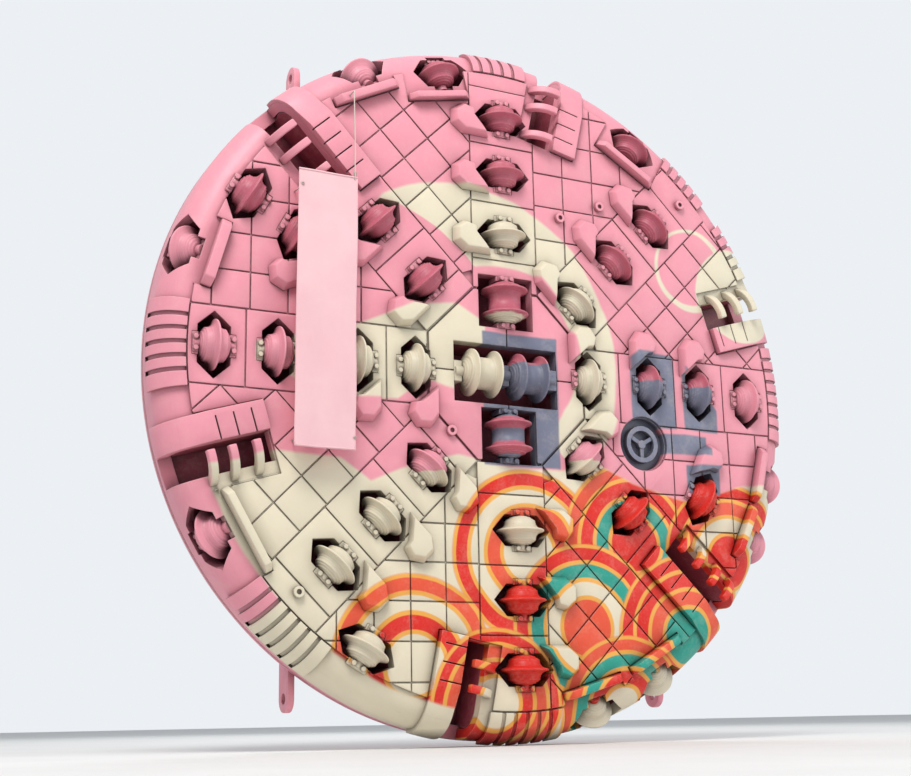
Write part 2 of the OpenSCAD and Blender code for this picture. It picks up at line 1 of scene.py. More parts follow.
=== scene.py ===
"""Tunnel boring machine cutterhead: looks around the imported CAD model.

Metres, in the row's frame: -Y out of the cutting face, +Z up.
"""
import json
import math
import random

import bmesh
import bpy
from mathutils import Matrix, Vector
from mathutils.bvhtree import BVHTree


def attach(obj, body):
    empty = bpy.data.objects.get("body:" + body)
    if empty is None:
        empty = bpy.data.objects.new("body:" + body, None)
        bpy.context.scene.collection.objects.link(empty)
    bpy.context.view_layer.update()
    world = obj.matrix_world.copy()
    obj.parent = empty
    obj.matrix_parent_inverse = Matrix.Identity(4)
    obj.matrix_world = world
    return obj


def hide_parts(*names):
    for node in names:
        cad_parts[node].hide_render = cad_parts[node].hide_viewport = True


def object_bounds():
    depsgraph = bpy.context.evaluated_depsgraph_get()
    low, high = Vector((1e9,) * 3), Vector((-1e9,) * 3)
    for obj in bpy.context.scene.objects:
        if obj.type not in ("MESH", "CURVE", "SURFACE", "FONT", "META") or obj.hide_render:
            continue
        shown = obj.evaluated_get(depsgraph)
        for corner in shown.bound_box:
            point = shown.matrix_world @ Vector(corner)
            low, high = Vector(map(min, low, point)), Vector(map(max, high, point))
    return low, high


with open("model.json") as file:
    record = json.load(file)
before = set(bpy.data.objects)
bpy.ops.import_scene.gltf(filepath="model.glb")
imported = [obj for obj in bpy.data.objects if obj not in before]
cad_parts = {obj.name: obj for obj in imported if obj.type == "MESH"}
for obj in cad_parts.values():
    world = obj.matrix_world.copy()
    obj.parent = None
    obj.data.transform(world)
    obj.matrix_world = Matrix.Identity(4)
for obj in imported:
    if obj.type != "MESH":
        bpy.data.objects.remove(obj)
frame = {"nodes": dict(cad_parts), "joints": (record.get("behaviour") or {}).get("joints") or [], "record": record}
CAD_BOX = [list(map(float, c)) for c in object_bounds()]
nodes = frame["nodes"]
scene = bpy.context.scene
# Radius of the rim, and the places of the tiles' and the face plate's fronts along Y
R = 3.2
TILE_FACE = -1.5
PLATE_FACE = -1.468
scene.view_settings.view_transform = "Standard"


def srgb(r, g, b):
    """A linear colour from 0 to 255 screen values."""
    def lin(c):
        c /= 255
        return c / 12.92 if c <= 0.04045 else ((c + 0.055) / 1.055) ** 2.4
    return (lin(r), lin(g), lin(b), 1.0)


PINK = srgb(233, 150, 165)
ROSE = srgb(196, 100, 118)
CREAM = srgb(226, 216, 190)
SLATE = srgb(118, 122, 142)
RED = srgb(222, 34, 20)
ORANGE = srgb(232, 84, 52)
TEAL = srgb(38, 158, 140)
YELLOW = srgb(238, 170, 70)
DARK = srgb(44, 18, 24)

# Nodes


class Tree:
    """Builds shader nodes with plain calls."""

    def __init__(self, tree):
        self.t = tree

    def new(self, kind, **props):
        n = self.t.nodes.new(kind)
        for k, v in props.items():
            setattr(n, k, v)
        return n

    def put(self, socket, value):
        if isinstance(value, bpy.types.NodeSocket):
            self.t.links.new(value, socket)
        elif value is not None:
            socket.default_value = value

    def math(self, op, a, b=None, c=None, clamp=False):
        n = self.new("ShaderNodeMath", operation=op, use_clamp=clamp)
        for s, v in zip(n.inputs, (a, b, c)):
            self.put(s, v)
        return n.outputs[0]

    def mix(self, fac, a, b, blend="MIX"):
        n = self.new("ShaderNodeMix", data_type="RGBA", blend_type=blend)
        self.put(n.inputs[0], fac)
        self.put(n.inputs[6], a)
        self.put(n.inputs[7], b)
        return n.outputs[2]

    def step(self, value, edge, soft=0.006):
        """0 below the edge, 1 above it, with a soft change."""
        n = self.new("ShaderNodeMapRange", interpolation_type="SMOOTHSTEP")
        if isinstance(edge, bpy.types.NodeSocket):
            value = self.math("SUBTRACT", value, edge)
            edge = 0.0
        self.put(n.inputs[0], value)
        n.inputs[1].default_value, n.inputs[2].default_value = edge - soft, edge + soft
        n.inputs[3].default_value, n.inputs[4].default_value = 0.0, 1.0
        return n.outputs[0]

    def both(self, *masks):
        """Where all the masks are 1."""
        out = masks[0]
        for m in masks[1:]:
            out = self.math("MULTIPLY", out, m)
        return out

    def flip(self, mask):
        return self.math("SUBTRACT", 1.0, mask)

    def curve(self, value, points, low, high):
        """A function of value through the given points, with value from low to high."""
        n = self.new("ShaderNodeFloatCurve")
        m = n.mapping
        m.use_clip = True
        scaled = [((x - low) / (high - low), y) for x, y in points]
        ys = [y for _, y in scaled]
        y0, y1 = min(ys) - 0.01, max(ys) + 0.01
        pts = m.curves[0].points
        while len(pts) < len(scaled):
            pts.new(0.5, 0.5)
        for p, (x, y) in zip(pts, sorted(scaled)):
            p.location = (x, (y - y0) / (y1 - y0))
            p.handle_type = "VECTOR"
        m.update()
        self.put(n.inputs[1], self.math("DIVIDE", self.math("SUBTRACT", value, low), high - low))
        return self.math("MULTIPLY_ADD", n.outputs[0], y1 - y0, y0)

    def noise(self, scale, detail=4.0, rough=0.55, vector=None, distortion=0.0):
        n = self.new("ShaderNodeTexNoise")
        n.inputs["Scale"].default_value = scale
        n.inputs["Detail"].default_value = detail
        n.inputs["Roughness"].default_value = rough
        n.inputs["Distortion"].default_value = distortion
        self.put(n.inputs["Vector"], vector)
        return n.outputs[0]

    def object_xyz(self):
        tc = self.new("ShaderNodeTexCoord")
        s = self.new("ShaderNodeSeparateXYZ")
        self.put(s.inputs[0], tc.outputs["Object"])
        return tc.outputs["Object"], s.outputs[0], s.outputs[1], s.outputs[2]


def zone_group():
    """Paint zones of the face by place: x and z in shares of the rim's radius."""
    g = bpy.data.node_groups.new("face_paint", "ShaderNodeTree")
    g.interface.new_socket("Color", in_out="OUTPUT", socket_type="NodeSocketColor")
    t = Tree(g)
    out = t.new("NodeGroupOutput")
    vec, x, y, z = t.object_xyz()
    wob = t.math("MULTIPLY", t.math("SUBTRACT", t.noise(2.2, 2.0, 0.5, vec), 0.5), 0.012)
    u = t.math("ADD", t.math("DIVIDE", x, R), wob)
    v = t.math("ADD", t.math("DIVIDE", z, R), wob)
    r = t.math("SQRT", t.math("ADD", t.math("MULTIPLY", u, u), t.math("MULTIPLY", v, v)))
    ang = t.math("MULTIPLY", t.math("ARCTAN2", v, u), 180 / math.pi)

    def within(value, low, high, soft=0.004):
        return t.both(t.step(value, low, soft), t.flip(t.step(value, high, soft)))

    def disc(cu, cv, rad, soft=0.004):
        across = t.math("POWER", t.math("SUBTRACT", u, cu), 2.0)
        up = t.math("POWER", t.math("SUBTRACT", v, cv), 2.0)
        d = t.math("SQRT", t.math("ADD", across, up))
        return d, t.flip(t.step(d, rad, soft))

    col = t.mix(0.0, PINK, PINK)
    # cream band that winds around the centre, from the upper left to the right
    outer = t.curve(ang, [
        (-60, 0.30), (-30, 0.36), (0, 0.36), (38, 0.405), (90, 0.535), (116, 0.60), (128, 0.62), (135, 0.60)
    ], -60, 135)
    inner = t.curve(ang, [
        (-60, 0.20), (-25, 0.20), (48, 0.27), (72, 0.32), (108, 0.325), (118, 0.47), (126, 0.58), (135, 0.61)
    ], -60, 135)
    band = t.both(t.flip(t.step(r, outer)), t.step(r, inner), within(ang, -52.0, 134.0, 0.5))
    col = t.mix(band, col, CREAM)
    # cream band left of the centre
    top = t.curve(u, [
        (-0.75, 0.02), (-0.60, 0.06), (-0.46, 0.10), (-0.30, 0.175), (-0.16, 0.195), (-0.05, 0.14)
    ], -0.75, -0.05)
    low = t.curve(u, [
        (-0.75, -0.02), (-0.60, -0.08), (-0.46, -0.105), (-0.34, -0.095),
        (-0.26, -0.035), (-0.17, -0.05), (-0.05, -0.06)
    ], -0.75, -0.05)
    band = t.both(t.flip(t.step(v, top)), t.step(v, low), within(u, -0.74, -0.07))
    col = t.mix(band, col, CREAM)
    # cream lower part
    top = t.curve(u, [
        (-1.1, -0.36), (-0.80, -0.30), (-0.70, -0.262), (-0.51, -0.27), (-0.42, -0.325),
        (-0.33, -0.285), (-0.16, -0.235), (0.0, -0.262), (0.16, -0.262), (0.30, -0.24),
        (0.40, -0.285), (0.60, -0.33), (0.80, -0.27), (1.1, -0.25)
    ], -1.1, 1.1)
    lower = t.flip(t.step(v, top))
    rim = t.both(t.step(r, 0.925), within(ang, -180.0, -136.0, 0.5))
    col = t.mix(t.both(lower, t.flip(rim)), col, CREAM)
    # cream around the opening on the right
    d, m = disc(0.83, 0.335, 0.155)
    col = t.mix(m, col, CREAM)
    d, m = disc(0.66, 0.40, 0.135)
    d2, m2 = disc(0.655, 0.405, 0.118)
    col = t.mix(t.both(m, t.flip(m2)), col, CREAM)

    # fans of concentric arcs on the lower right, clear of the rim's lower left
    not_rim = t.flip(t.both(t.step(r, 0.93), within(ang, -180.0, -100.0, 0.5)))
    line = 0.006

    def fan(cu, cv, rad, colours):
        nonlocal col
        d, m = disc(cu, cv, rad)
        n = len(colours)
        c = None
        for i, colour in reversed(list(enumerate(colours))):
            edge = rad * (1 - (i + 1) * 0.86 / n)
            c = t.mix(0.0, colour, colour) if c is None else t.mix(t.step(d, edge, 0.0025), c, colour)
            if i < n - 1:
                border = t.both(t.step(d, edge - line, 0.002), t.flip(t.step(d, edge + line, 0.002)))
                c = t.mix(border, c, YELLOW)
        c = t.mix(t.both(t.step(d, rad - 0.011, 0.002), m), c, YELLOW)
        col = t.mix(t.both(m, lower, not_rim), col, c)

    for place in (
        (0.05, -0.50, 0.235, [RED, CREAM, ORANGE, CREAM]),
        (0.40, -0.46, 0.235, [ORANGE, RED, TEAL, RED]),
        (0.74, -0.50, 0.235, [RED, ORANGE, CREAM, RED]),
        (-0.30, -0.80, 0.235, [ORANGE, CREAM, RED, CREAM]),
        (0.23, -0.70, 0.235, [RED, TEAL, CREAM, ORANGE]),
        (0.57, -0.72, 0.235, [RED, RED, ORANGE, TEAL]),
        (-0.06, -0.90, 0.20, [RED, ORANGE, RED, CREAM]),
        (0.35, -0.93, 0.21, [ORANGE, TEAL, RED, CREAM]),
    ):
        fan(*place)
    # slate panels
    col = t.mix(t.both(within(u, -0.08, 0.163), within(v, -0.258, 0.124)), col, SLATE)
    row = t.both(within(u, 0.415, 0.725), within(v, -0.11, 0.118), t.flip(within(u, 0.573, 0.602)))
    slant = t.math("ADD", t.math("ABSOLUTE", t.math("SUBTRACT", u, 0.50)), v)
    row = t.both(row, t.flip(t.step(slant, 0.185)))
    col = t.mix(row, col, SLATE)
    for a, b, c2, d2 in ((0.52, 0.68, -0.185, -0.125), (0.60, 0.72, -0.30, -0.215)):
        col = t.mix(t.both(within(u, a, b), within(v, c2, d2)), col, SLATE)
    t.put(out.inputs[0], col)
    return g


ZONES = zone_group()


def paint(name, colour=None, zones=False, rough=0.42, dirt=0.35, bump=0.25, scale=1.0, wear=0.5,
          split=None):
    """Painted steel with brush marks and dust, edges lighter from wear and a painted highlight, and painted shade
    in the corners.

    zones takes the colour from the face's paint. split is (second colour, share of x, share of y, edge):
    the second colour lies below the edge, or with "rings" as the share of x, away from two rings at +-y.
    """
    mat = bpy.data.materials.new(name)
    mat.use_nodes = True
    t = Tree(mat.node_tree)
    bsdf = mat.node_tree.nodes["Principled BSDF"]
    vec, x, y, z = t.object_xyz()
    if zones:
        g = t.new("ShaderNodeGroup")
        g.node_tree = ZONES
        base = g.outputs[0]
    elif split:
        second, ax, ay, edge = split
        if ax == "rings":
            away = t.math("ABSOLUTE", t.math("SUBTRACT", t.math("ABSOLUTE", x), ay))
            place = t.math("MULTIPLY", away, -1.0)
        else:
            place = t.math("ADD", t.math("MULTIPLY", x, ax), t.math("MULTIPLY", y, ay))
        wavy = t.math("MULTIPLY_ADD", t.noise(14.0, 2.0, 0.5, vec), 0.03, place)
        base = t.mix(t.step(wavy, edge + 0.015, 0.006), second, colour)
    else:
        base = colour
    big = t.noise(1.6 * scale, 3.0, 0.6, vec)
    fine = t.noise(38.0 * scale, 5.0, 0.65, vec)
    mid = t.noise(9.0 * scale, 4.0, 0.6, vec)
    hsv = t.new("ShaderNodeHueSaturation")
    t.put(hsv.inputs["Color"], base)
    cloudy = t.math("ADD", big, t.math("MULTIPLY", mid, 0.6))
    t.put(hsv.inputs["Value"], t.math("ADD", 0.86, t.math("MULTIPLY", cloudy, 0.18)))
    t.put(hsv.inputs["Saturation"], t.math("ADD", 0.93, t.math("MULTIPLY", mid, 0.14)))
    col = hsv.outputs[0]
    # dust in faint patches
    patches = t.math("MULTIPLY_ADD", fine, 0.35, t.math("MULTIPLY", mid, 0.65))
    dust = t.math("MULTIPLY", t.step(patches, 0.56, 0.12), dirt)
    col = t.mix(dust, col, t.mix(0.45, col, srgb(214, 200, 186)))
    # edges lighter: paint worn thin there in patches, and a painted highlight along them
    bevel = t.new("ShaderNodeBevel", samples=4)
    bevel.inputs["Radius"].default_value = 0.012
    geo = t.new("ShaderNodeNewGeometry")
    dot = t.new("ShaderNodeVectorMath", operation="DOT_PRODUCT")
    t.put(dot.inputs[0], bevel.outputs[0])
    t.put(dot.inputs[1], geo.outputs["Normal"])
    edge = t.math("SUBTRACT", 1.0, dot.outputs["Value"])
    edge = t.both(t.step(edge, 0.07, 0.05), t.step(fine, 0.44, 0.09))
    col = t.mix(t.math("MULTIPLY", edge, wear), col, t.mix(0.55, col, srgb(250, 236, 228)))
    # shade in the corners
    ao = t.new("ShaderNodeAmbientOcclusion", samples=4)
    ao.inputs["Distance"].default_value = 0.16
    shade = t.math("POWER", ao.outputs["AO"], 1.3)
    col = t.mix(shade, t.mix(0.80, col, DARK, "MULTIPLY"), col)
    t.put(bsdf.inputs["Base Color"], col)
    t.put(bsdf.inputs["Roughness"], t.math("MULTIPLY_ADD", mid, 0.22, rough - 0.08))
    bsdf.inputs["Specular IOR Level"].default_value = 0.35
    b = t.new("ShaderNodeBump")
    b.inputs["Strength"].default_value = bump
    b.inputs["Distance"].default_value = 0.004
    t.put(b.inputs["Height"], t.math("MULTIPLY_ADD", mid, 0.7, t.math("MULTIPLY", fine, 0.3)))
    t.put(b.inputs["Normal"], bevel.outputs[0])
    t.put(bsdf.inputs["Normal"], b.outputs[0])
    return mat


M_FACE = paint("face_paint", zones=True)
M_ROSE = paint("rose_paint", ROSE, bump=0.3)
M_PINK = paint("pink_paint", PINK)
M_CREAM = paint("cream_paint", CREAM)
M_SLATE = paint("slate_paint", SLATE)
M_RED = paint("red_paint", RED)
# rose darkened to the colour of shade: painted shade for the parts that sit back in the pockets
M_ROSE_PAINTED_SHADE = paint("deep_rose_paint", srgb(150, 66, 82), bump=0.3)
COLOURS = {
    "pink_paint": M_PINK, "rose_paint": M_ROSE, "cream_paint": M_CREAM,
    "slate_paint": M_SLATE, "red_paint": M_RED,
}


def cloth_material():
    mat = bpy.data.materials.new("banner_cloth")
    mat.use_nodes = True
    t = Tree(mat.node_tree)
    bsdf = mat.node_tree.nodes["Principled BSDF"]
    vec, x, y, z = t.object_xyz()
    w1 = t.new("ShaderNodeTexWave", wave_type="BANDS", bands_direction="X")
    w1.inputs["Scale"].default_value = 160.0
    w2 = t.new("ShaderNodeTexWave", wave_type="BANDS", bands_direction="Z")
    w2.inputs["Scale"].default_value = 160.0
    t.put(w1.inputs["Vector"], vec)
    t.put(w2.inputs["Vector"], vec)
    weave = t.math("MULTIPLY", w1.outputs[1], w2.outputs[1])
    blot = t.noise(2.5, 4.0, 0.6, vec)
    col = t.mix(blot, srgb(232, 178, 186), srgb(246, 206, 208))
    col = t.mix(t.math("MULTIPLY", weave, 0.12), col, srgb(214, 150, 160))
    t.put(bsdf.inputs["Base Color"], col)
    bsdf.inputs["Roughness"].default_value = 0.75
    bsdf.inputs["Sheen Weight"].default_value = 0.2
    b = t.new("ShaderNodeBump")
    b.inputs["Strength"].default_value = 0.25
    b.inputs["Distance"].default_value = 0.002
    t.put(b.inputs["Height"], weave)
    t.put(bsdf.inputs["Normal"], b.outputs[0])
    return mat


M_CLOTH = cloth_material()
M_WELD = paint("weld_paint", zones=True, rough=0.5, dirt=0.5, bump=0.8, wear=0.2)
M_ROPE = paint("rope", srgb(214, 200, 186), rough=0.8, dirt=0.2, bump=0.5, scale=4.0)

slot_of = {s["node"]: s["material_slot"] for s in frame["record"]["subparts"]}


def wear_material(obj, mat):
    obj.data.materials.clear()
    obj.data.materials.append(mat)


FACE_NODES = (
    "face_centre", "face_segments", "wear_tiles", "deflectors", "scrapers", "gauge_bars",
    "edge_wear_blocks", "spray_nozzles", "cutter_shafts",
)
# the parts set back behind the face get the darkened rose, painted shade in the recesses
SHADED_RECESS_NODES = ("cutter_housings", "web_plates", "back_plate")
for name, obj in nodes.items():
    slot = slot_of.get(name, "pink_paint")
    if name in FACE_NODES:
        wear_material(obj, M_FACE)
    elif slot == "banner_cloth":
        wear_material(obj, M_CLOTH)
    elif name in SHADED_RECESS_NODES:
        wear_material(obj, M_ROSE_PAINTED_SHADE)
    else:
        wear_material(obj, COLOURS[slot])

# Mesh tools
rng = random.Random(7)


def shade(bm, angle=38):
    for f in bm.faces:
        f.smooth = True
    for e in bm.edges:
        if len(e.link_faces) != 2 or e.calc_face_angle(0.0) > math.radians(angle):
            e.smooth = False


def make(name, bm, mat, body="head", replaces=(), angle=38):
    shade(bm, angle)
    me = bpy.data.meshes.new(name)
    bm.to_mesh(me)
    bm.free()
    me.materials.append(mat)
    ob = bpy.data.objects.new(name, me)
    scene.collection.objects.link(ob)
    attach(ob, body)
    if replaces:
        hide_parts(*replaces)
    return ob


def clean_copy(name, angle=1.0):
    """The CAD node's mesh with its flat faces joined again."""
    bm = bmesh.new()
    bm.from_mesh(nodes[name].data)
    bmesh.ops.remove_doubles(bm, verts=bm.verts, dist=4e-5)
    bmesh.ops.dissolve_degenerate(bm, edges=bm.edges, dist=1e-5)
    bmesh.ops.dissolve_limit(bm, angle_limit=math.radians(angle), verts=bm.verts, edges=bm.edges)
    return bm


def islands(bm):
    """Groups of faces that hang together."""
    seen, out = set(), []
    bm.faces.ensure_lookup_table()
    for f in bm.faces:
        if f.index in seen:
            continue
        seen.add(f.index)
        stack, group = [f], []
        while stack:
            g = stack.pop()
            group.append(g)
            for e in g.edges:
                for h in e.link_faces:
                    if h.index not in seen:
                        seen.add(h.index)
                        stack.append(h)
        out.append(group)
    return out


def part_of(bm, group):
    """A new mesh from some faces of another."""
    out, vs = bmesh.new(), {}
    for f in group:
        corner = []
        for v in f.verts:
            if v.index not in vs:
                vs[v.index] = out.verts.new(v.co)
            corner.append(vs[v.index])
        try:
            out.faces.new(corner)
        except ValueError:
            pass
    out.normal_update()
    return out


def bevel(bm, width, segs=2, angle=32):
    """Rounds the sharp edges."""
    geom = [e for e in bm.edges if len(e.link_faces) == 2 and e.calc_face_angle(0.0) > math.radians(angle)]
    if geom:
        bmesh.ops.bevel(
            bm, geom=geom, offset=width, offset_type="OFFSET", segments=segs, profile=0.55,
            affect="EDGES", clamp_overlap=True,
        )


def merge(into, bm):
    me = bpy.data.meshes.new("merge")
    bm.to_mesh(me)
    bm.free()
    into.from_mesh(me)
    bpy.data.meshes.remove(me)


def narrowest(bm):
    """The smallest distance on the front between a corner and an edge that doesn't meet it."""
    front = min(v.co.y for v in bm.verts) + 0.006
    edges = [e for e in bm.edges if max(v.co.y for v in e.verts) < front and e.calc_face_angle(0.0) > 0.3]
    gap = 1.0
    for v in {v for e in edges for v in e.verts}:
        for e in edges:
            if v in e.verts:
                continue
            a, b = e.verts[0].co, e.verts[1].co
            d = b - a
            share = max(0.0, min(1.0, (v.co - a).dot(d) / max(d.length_squared, 1e-12)))
            gap = min(gap, (v.co - a - d * share).length)
    return gap


def soften(name, width, segs=2, mat=M_FACE, tweak=None, thin=False):
    """The CAD node's own shape with rounded edges, island by island. thin narrows them where it is thin."""
    src = clean_copy(name)
    src.verts.index_update()
    out = bmesh.new()
    for group in islands(src):
        p = part_of(src, group)
        if tweak:
            tweak(p)
        bevel(p, min(width, max(0.0008, 0.4 * narrowest(p))) if thin else width, segs)
        merge(out, p)
    src.free()
    return make(name + "_shape", out, mat, "head", (name,))


def lathe(points, segments):
    """A mesh turned around X from points (x, radius)."""
    bm = bmesh.new()
    turns = [2 * math.pi * k / segments for k in range(segments)]
    rows = [[bm.verts.new((x, r * math.sin(a), r * math.cos(a))) for a in turns] for x, r in points]
    for a, b in zip(rows, rows[1:]):
        for k in range(segments):
            bm.faces.new((a[k], a[(k + 1) % segments], b[(k + 1) % segments], b[k]))
    return bm


def tube(bm, path, radius, sides=6, closed=False, wobble=0.0):
    """A bead or rope along a path."""
    pts = [Vector(p) for p in path]
    n = len(pts)
    rings = []
    turns = [2 * math.pi * k / sides for k in range(sides)]
    side = None
    for i, p in enumerate(pts):
        a = pts[(i - 1) % n] if closed or i else pts[i]
        b = pts[(i + 1) % n] if closed or i < n - 1 else pts[i]
        d = (b - a).normalized()
        if side is None:
            side = d.orthogonal().normalized()
        side = (side - d * side.dot(d)).normalized()
        up = d.cross(side)
        r = radius * (1 + wobble * (rng.random() - 0.5))
        rings.append([bm.verts.new(p + r * (math.cos(a) * side + math.sin(a) * up)) for a in turns])
    last = n if closed else n - 1
    for i in range(last):
        a, b = rings[i], rings[(i + 1) % n]
        shift = 0
        if closed and i == n - 1:
            shift = min(range(sides), key=lambda s: (a[0].co - b[s].co).length)
        for k in range(sides):
            bm.faces.new((a[k], a[(k + 1) % sides], b[(k + 1 + shift) % sides], b[(k + shift) % sides]))
    if not closed:
        bm.faces.new(rings[0][::-1])
        bm.faces.new(rings[-1])


def box_mesh(bm, m, size, bev=0.004, segs=2):
    """A box with rounded edges, its middle at m."""
    b = bmesh.new()
    bmesh.ops.create_cube(b, size=1.0, matrix=Matrix.Diagonal((*size, 1)))
    bevel(b, min(bev, min(size) * 0.3), segs)
    b.transform(m)
    merge(bm, b)


def hex_bolt(bm, m, across=0.046, height=0.022, washer=0.005):
    """A hexagon head on a washer, standing along the matrix's Z."""
    b = bmesh.new()
    bmesh.ops.create_cone(
        b, cap_ends=True, segments=20, radius1=across * 0.68, radius2=across * 0.66, depth=washer,
        matrix=Matrix.Translation((0, 0, washer / 2)),
    )
    h = bmesh.new()
    corner = across / math.sqrt(3)
    bmesh.ops.create_cone(
        h, cap_ends=True, segments=6, radius1=corner, radius2=corner, depth=height,
        matrix=Matrix.Translation((0, 0, washer + height / 2)),
    )
    bevel(h, 0.0028, 1)
    h.transform(Matrix.Rotation(rng.random() * math.pi, 4, "Z"))
    merge(b, h)
    b.transform(m)
    merge(bm, b)


def frame_at(x_axis, y_axis, z_axis, at):
    m = Matrix((x_axis, y_axis, z_axis)).transposed().to_4x4()
    m.translation = at
    return m


# Cutters
cutters = {}
for j in frame["joints"]:
    A = Vector(j["axis"]).normalized()
    P = Vector(j["pos_m"])
    a = math.atan2(A.z, A.x)
    T = Vector((-math.sin(a), 0, math.cos(a)))
    cutters[j["child"].replace("_body", "")] = (frame_at(A, T, A.cross(T), P), j["child"])

# Half section of a cutter: (place along the shaft, radius), from the hub's end to the ring's edge
HALF_SINGLE, HALF_TWIN, RING_PLACE = .126, .194, .114
HUB = [
    (-.126, .0505), (-.126, .0700), (-.1245, .0740), (-.1195, .0765), (-.1185, .0840),
    (-.1170, .0870), (-.1155, .0985), (-.1135, .1020), (-.1050, .1045), (-.1030, .1065),
    (-.1015, .1185), (-.0985, .1230), (-.0915, .1255), (-.0900, .1290),
]
BRIM = [
    (-.0885, .1345), (-.0870, .1385), (-.0800, .1400), (-.0620, .1410), (-.0600, .1440), (-.0500, .1450),
]
RING = [
    (-.0440, .1465), (-.0425, .1520), (-.0380, .1545), (-.0300, .1560), (-.0285, .1625),
    (-.0240, .1680), (-.0190, .1775), (-.0150, .1890), (-.0115, .2010),
    (-.0085, .2100), (-.0080, .2120), (-.0045, .2155), (0, .216),
]


def profile(half, rings):
    """Half section of a cutter: hub ends, brims and rings, as (place along the shaft, radius)."""
    pts = [(x - half + HALF_SINGLE, r) for x, r in HUB + (BRIM if half < HALF_TWIN else [])]
    end = len(pts)
    for c in rings:
        pts += [(x + c, r) for x, r in RING] + [(-x + c, r) for x, r in reversed(RING[:-1])]
    return pts + [(-x, r) for x, r in reversed(pts[:end])]


def disc_mesh(name, twin, mat):
    if twin:
        section = profile(HALF_TWIN, (-RING_PLACE, RING_PLACE))
    else:
        section = profile(HALF_SINGLE, (0,))
    bm = lathe(section, 80)
    shade(bm, 24)
    me = bpy.data.meshes.new(name)
    bm.to_mesh(me)
    bm.free()
    me.materials.append(mat)
    return me


# Cutters in two colours
DISC_PAINT = {
    "face_disc_08": paint("slate_and_rose_paint", ROSE, split=(SLATE, 0.0, 1.0, 0.03)),
    "face_disc_11": paint("pink_and_cream_paint", PINK, split=(CREAM, -0.707, 0.707, -0.04)),
    "face_disc_16": paint("cream_and_pink_paint", PINK, split=(CREAM, -0.707, -0.707, -0.05)),
    "twin_disc_1": paint("rose_and_cream_paint", ROSE, split=(CREAM, 1.0, 0.0, -0.13)),
    "twin_disc_2": paint("rose_rings_paint", ROSE, split=(SLATE, "rings", RING_PLACE, -0.055)),
    "twin_disc_4": paint("slate_and_rose_twin_paint", ROSE, split=(SLATE, 0.0, 1.0, 0.11)),
}
DISC_PAINT["face_disc_09"] = DISC_PAINT["face_disc_08"]

disc_meshes = {}
for name, (m, body) in sorted(cutters.items()):
    twin = name.startswith("twin")
    mat = DISC_PAINT.get(name) or COLOURS[slot_of[name]]
    key = (twin, mat.name)
    if key not in disc_meshes:
        disc_meshes[key] = disc_mesh("disc_%s_%s" % ("twin" if twin else "single", mat.name), twin, mat)
    ob = bpy.data.objects.new(name + "_ring", disc_meshes[key])
    ob.matrix_world = m
    scene.collection.objects.link(ob)
    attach(ob, body)
    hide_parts(name)

# Wear tiles and plates


def tile_tweak(p):
    """Each tile sits a little deeper or tilted, as welded plates do."""
    ys = [v.co.y for v in p.verts]
    front = min(ys)
    top = [v for v in p.verts if v.co.y < front + 0.005]
    cx = sum(v.co.x for v in top) / len(top)
    cz = sum(v.co.z for v in top) / len(top)
    a, b, c = (rng.uniform(-1, 1) * 0.006 for _ in range(3))
    for v in top:
        v.co.y += 0.0035 + a * (v.co.x - cx) + b * (v.co.z - cz) + c * 0.5


soften("wear_tiles", 0.007, 2, tweak=tile_tweak, thin=True)
soften("face_centre", 0.004, 1)
soften("face_segments", 0.005, 1)
soften("deflectors", 0.008, 2)
soften("scrapers", 0.006, 2)
soften("gauge_bars", 0.010, 2)
soften("grate_teeth", 0.010, 3)
soften("edge_wear_blocks", 0.005, 1)
soften("cutter_shafts", 0.004, 1)
soften("lifting_lugs", 0.008, 2, mat=M_PINK)
soften("support_arms", 0.008, 2, mat=M_ROSE)

# Retainers and bolts at the shafts
BLOCK_TOP, GAUGE_BLOCK_TOP = 0.024, 0.010
HUB_GAP = 0.006
SINGLE_WALL, TWIN_WALL = 0.185, 0.248
RETAINER = (0.150, 0.018)
BOLT_PLACES = (-0.048, 0.048)
bolts = bmesh.new()
plates = bmesh.new()
for name, (m, body) in sorted(cutters.items()):
    if name in ("twin_disc_3", "twin_disc_4"):
        continue
    half, wall = (HALF_TWIN, TWIN_WALL) if name.startswith("twin") else (HALF_SINGLE, SINGLE_WALL)
    mid = (half + HUB_GAP + wall) / 2
    top = GAUGE_BLOCK_TOP if name.startswith("gauge") else BLOCK_TOP
    for side in (-1, 1):
        if name.startswith("gauge") and side < 0:
            continue
        at = m @ Matrix.Translation((side * mid, 0, top + 0.008))
        box_mesh(plates, at, (wall - half - 2 * HUB_GAP, *RETAINER), 0.003, 1)
        for y in BOLT_PLACES:
            hex_bolt(bolts, m @ Matrix.Translation((side * mid, y, top + 0.016)), 0.040, 0.018)
make("shaft_retainers", plates, M_FACE)
make("shaft_bolts", bolts, M_FACE)

# Weld in the seams between the tiles
def face_rays():
    """A tree of the plates that a ray from the front meets first."""
    verts, faces = [], []
    for name in (
        "face_centre", "face_segments", "wear_tiles", "scrapers", "deflectors", "gauge_bars",
        "grate_teeth", "manhole_cover", "cutter_shafts",
    ):
        me = nodes[name].data
        base = len(verts)
        verts += [v.co.copy() for v in me.vertices]
        faces += [[base + i for i in f.vertices] for f in me.polygons]
    return BVHTree.FromPolygons(verts, faces)


RAYS = face_rays()
# Half a seam's width, the weld's height in it, and the length of a step along it
SEAM_HALF = 0.006
SEAM_HIGH = 0.016
SEAM_STEP = 0.03


def on_plate(x, z):
    """Whether the face plate's own front is the first thing behind this place."""
    hit = RAYS.ray_cast(Vector((x, TILE_FACE - 0.4, z)), Vector((0, 1, 0)))
    return hit[0] is not None and abs(hit[0].y - PLATE_FACE) < 0.002


